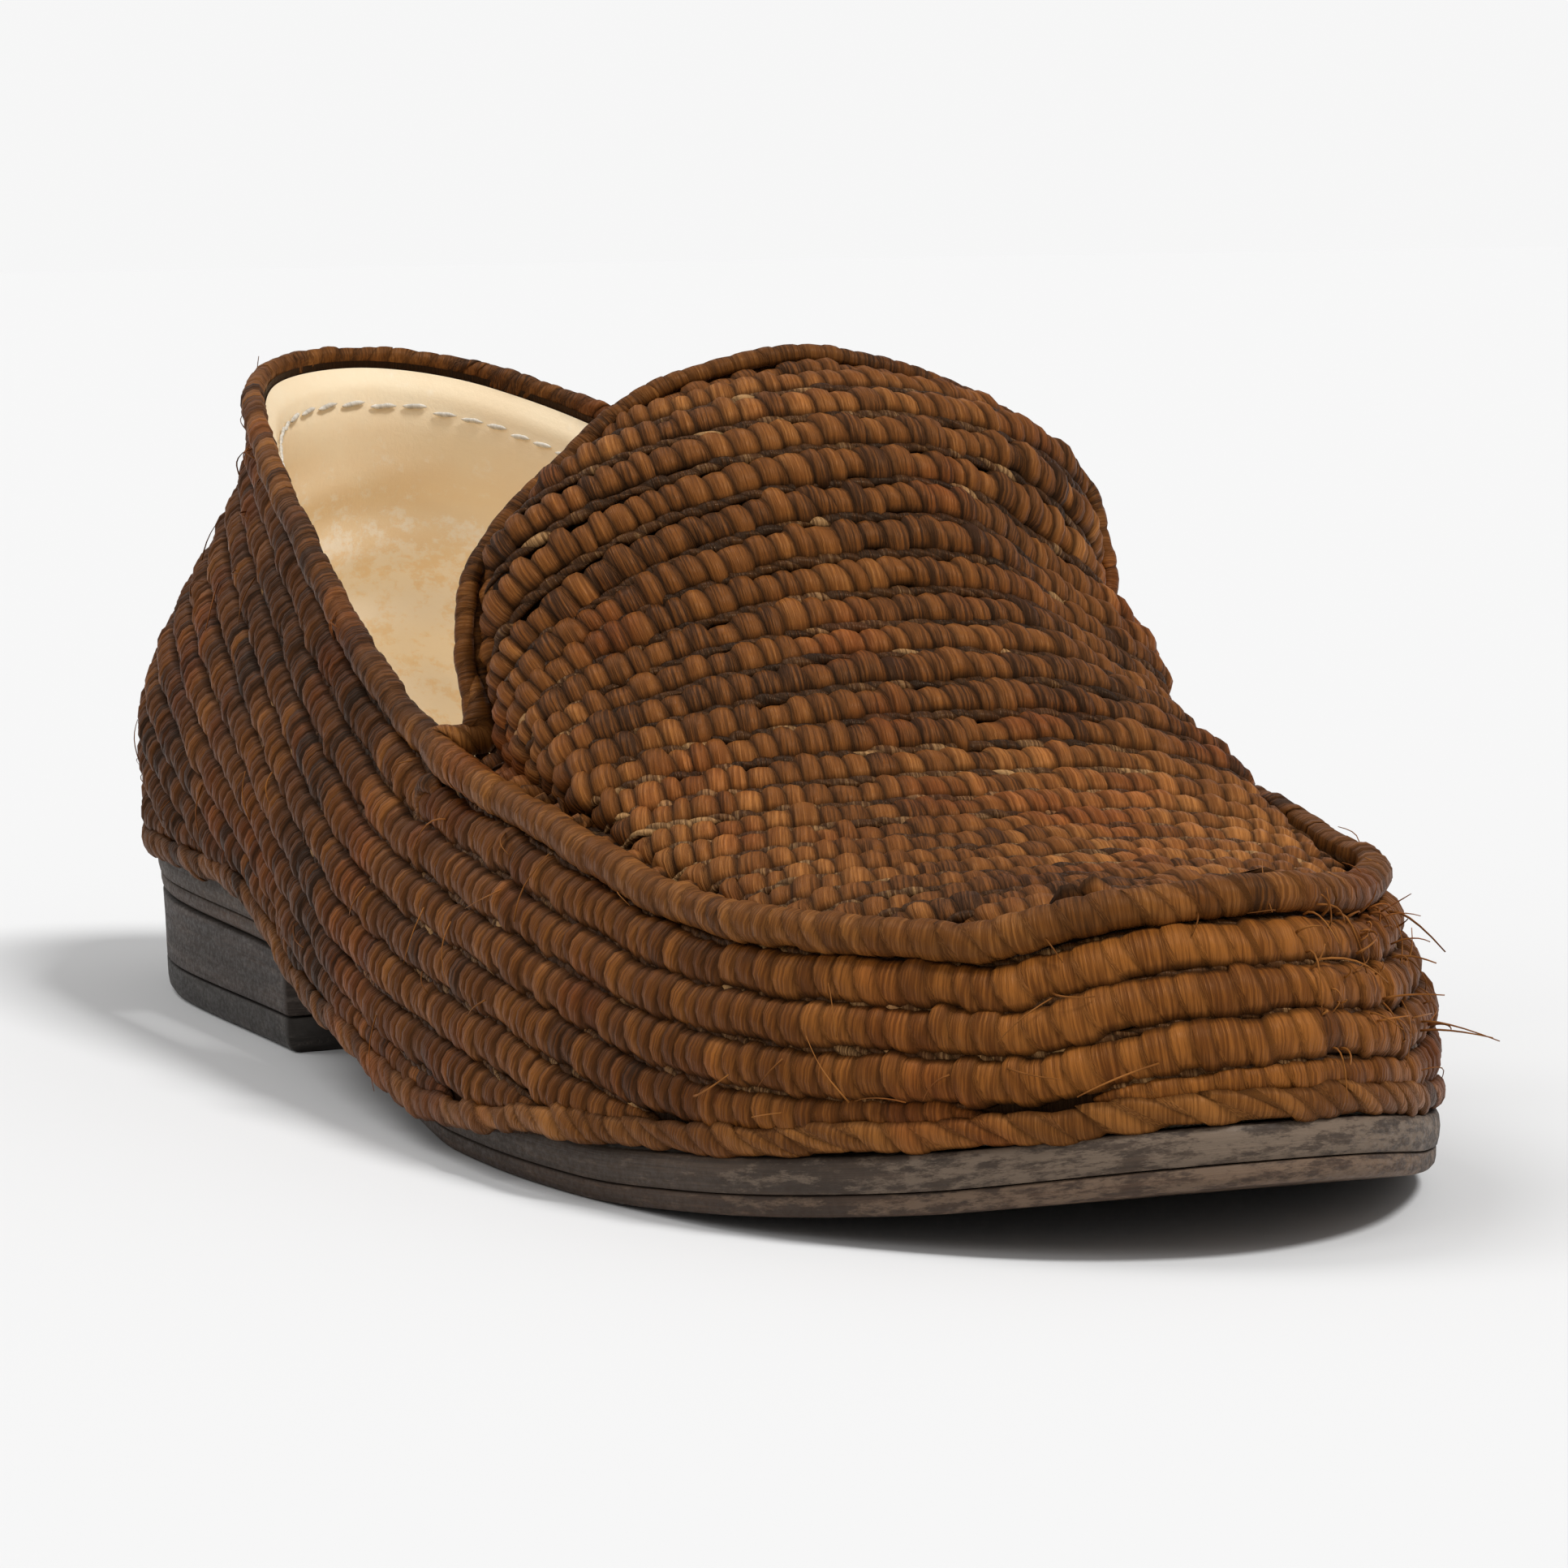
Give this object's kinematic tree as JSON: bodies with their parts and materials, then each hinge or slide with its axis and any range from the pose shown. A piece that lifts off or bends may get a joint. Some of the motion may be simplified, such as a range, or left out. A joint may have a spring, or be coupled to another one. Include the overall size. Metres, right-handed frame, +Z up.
{
  "type": "moccasin toe loafer",
  "caption": "Left slip-on loafer woven from raffia cord, with a raised seam round the moccasin toe, an upright tongue, a thin leather sole and a low stacked heel.",
  "frame": {"origin": "on the floor under the middle of the shoe's bounding box", "axes": "+X from heel to toe, +Y to the wearer's left, the outer side of this left shoe, +Z up"},
  "size_m": [0.271, 0.0906, 0.0803],
  "materials": {
    "raffia": "wrapped raffia cord, dark brown, satin",
    "lining_leather": "cream leather, matt",
    "midsole_leather": "grey-brown edge dressing, worn",
    "outsole_leather": "brown leather, worn",
    "stacked_leather": "dark stacked layers, satin",
    "top_piece_rubber": "dark rubber, matt"
  },
  "bodies": {
    "root": {"upper": "raffia", "insole": "lining_leather", "midsole": "midsole_leather", "outsole": "outsole_leather", "heel_stack": "stacked_leather", "heel_top_piece": "top_piece_rubber"}
  },
  "joints": []
}
